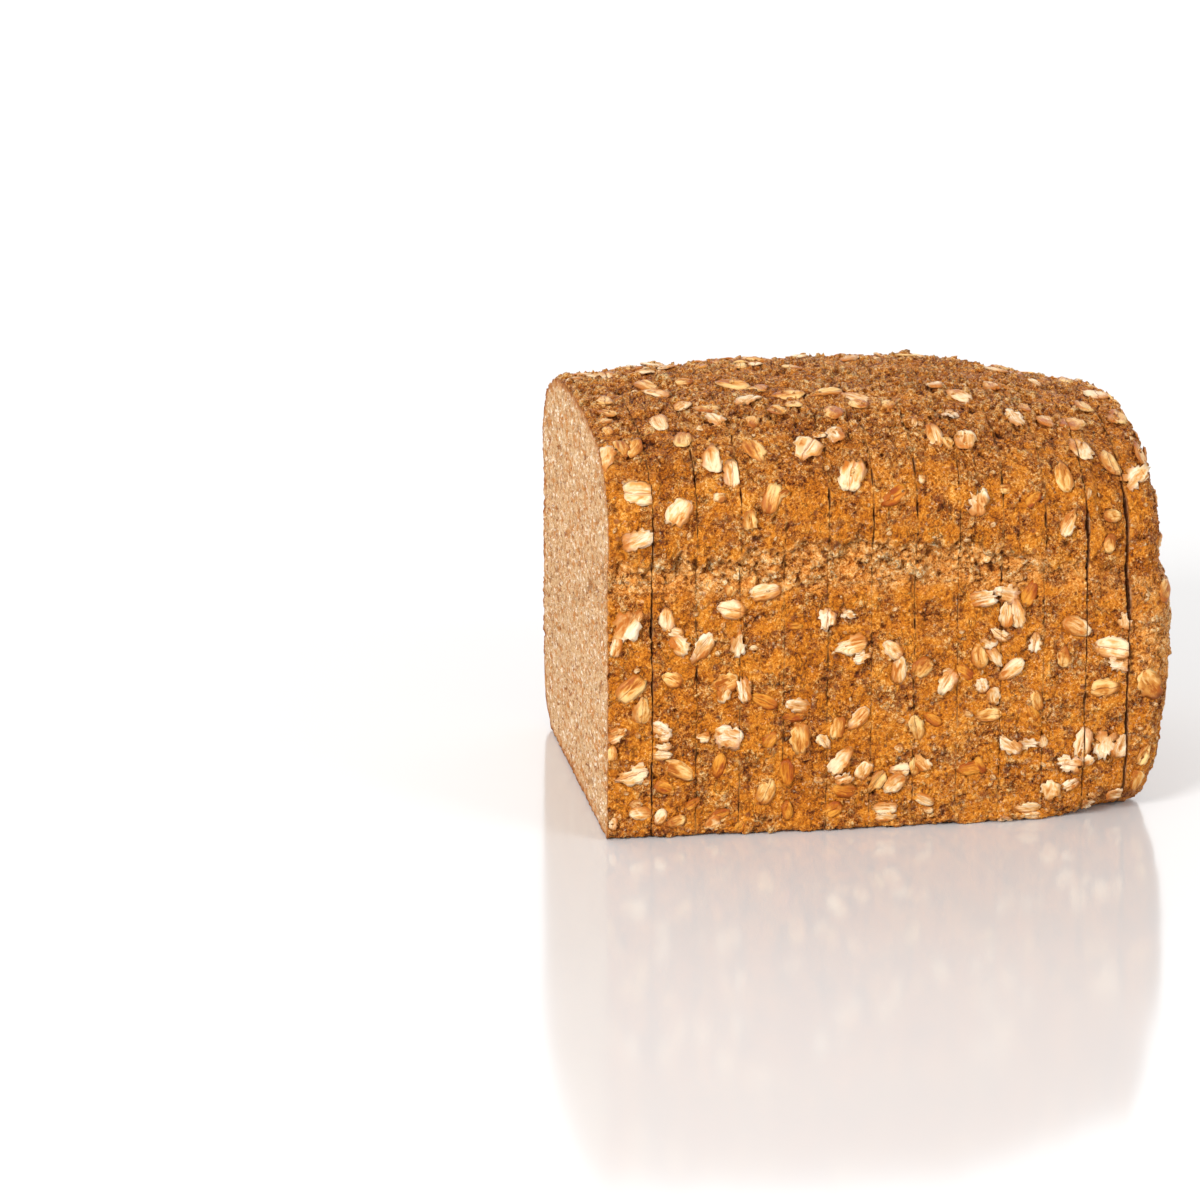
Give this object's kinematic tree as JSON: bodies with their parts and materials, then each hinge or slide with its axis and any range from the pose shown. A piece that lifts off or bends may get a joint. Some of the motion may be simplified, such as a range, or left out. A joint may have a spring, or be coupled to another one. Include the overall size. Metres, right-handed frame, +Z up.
{
  "type": "sliced oat loaf half",
  "caption": "Part of a sliced wholemeal tin loaf, oat flakes on its crust, slices standing close together up to the rounded heel.",
  "frame": {"origin": "centre of the footprint of the bounding box, on the surface the loaf stands on", "axes": "+X along the loaf from the cut face to the heel, +Z up, -Y towards the side the picture shows"},
  "size_m": [0.1611, 0.1205, 0.114],
  "materials": {
    "bread": "baked crust, dull, browned unevenly, with pale oat flakes; crumb lighter at the cut"
  },
  "bodies": {
    "root": {"slice_01": "bread", "slice_02": "bread", "slice_03": "bread", "slice_04": "bread", "slice_05": "bread", "slice_06": "bread", "slice_07": "bread", "slice_08": "bread", "slice_09": "bread", "slice_10": "bread", "slice_11": "bread", "slice_12": "bread", "heel": "bread"}
  },
  "joints": []
}
